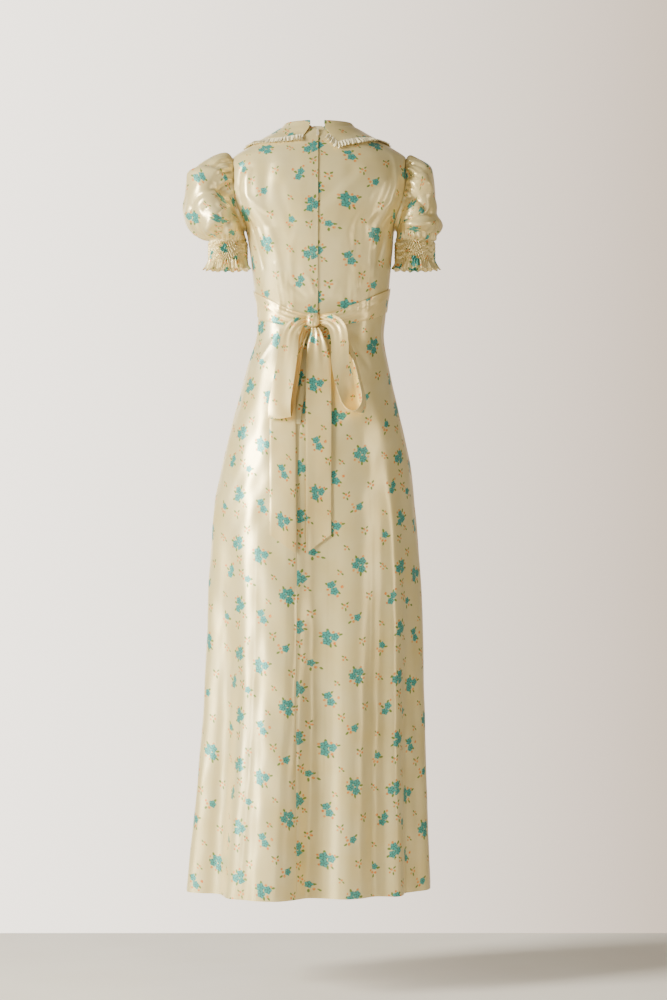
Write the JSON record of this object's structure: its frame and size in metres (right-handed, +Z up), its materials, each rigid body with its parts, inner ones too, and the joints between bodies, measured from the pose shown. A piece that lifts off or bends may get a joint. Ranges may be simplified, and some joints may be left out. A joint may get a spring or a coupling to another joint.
{
  "type": "maxi dress",
  "caption": "Full-length worn dress: fitted bodice, puff sleeves with shirred cuffs, flat frilled collar, back zip, bow-tied waist and flared skirt.",
  "frame": {"origin": "midway between the neck ends of the two shoulder seams, where the wearer's shoulders hold the dress", "axes": "+Z up along the worn dress, the wearer faces -Y, +X is the wearer's left"},
  "size_m": [0.4863, 0.362, 1.4438],
  "materials": {
    "satin": "glossy printed satin",
    "trim": "matt gathered trim",
    "zip_tape": "woven tape",
    "zip_metal": "cream enamel"
  },
  "bodies": {
    "dress": {"bodice_front": "satin", "bodice_back_left": "satin", "bodice_back_right": "satin", "skirt_front": "satin", "skirt_back_left": "satin", "skirt_back_right": "satin", "sleeve_left": "satin", "sleeve_right": "satin", "cuff_left": "satin", "cuff_right": "satin", "collar_left": "satin", "collar_right": "satin", "collar_ruffle_left": "trim", "collar_ruffle_right": "trim", "tie_left": "satin", "tie_right": "satin", "bow_knot": "satin", "bow_loop_left": "satin", "bow_loop_right": "satin", "tie_tail_left": "satin", "tie_tail_right": "satin", "zip_tape": "zip_tape", "zip_coil": "zip_metal", "zip_placket": "satin", "zip_slider": "zip_metal"},
    "zip_pull": {"zip_pull_tab": "zip_metal"}
  },
  "joints": [
    {"name": "zip_pull_hinge", "type": "hinge", "parent": "dress", "child": "zip_pull", "pos_m": [0.00005, 0.05798, -0.01093], "axis": [1, 0, 0], "range_deg": [0, 120]}
  ]
}
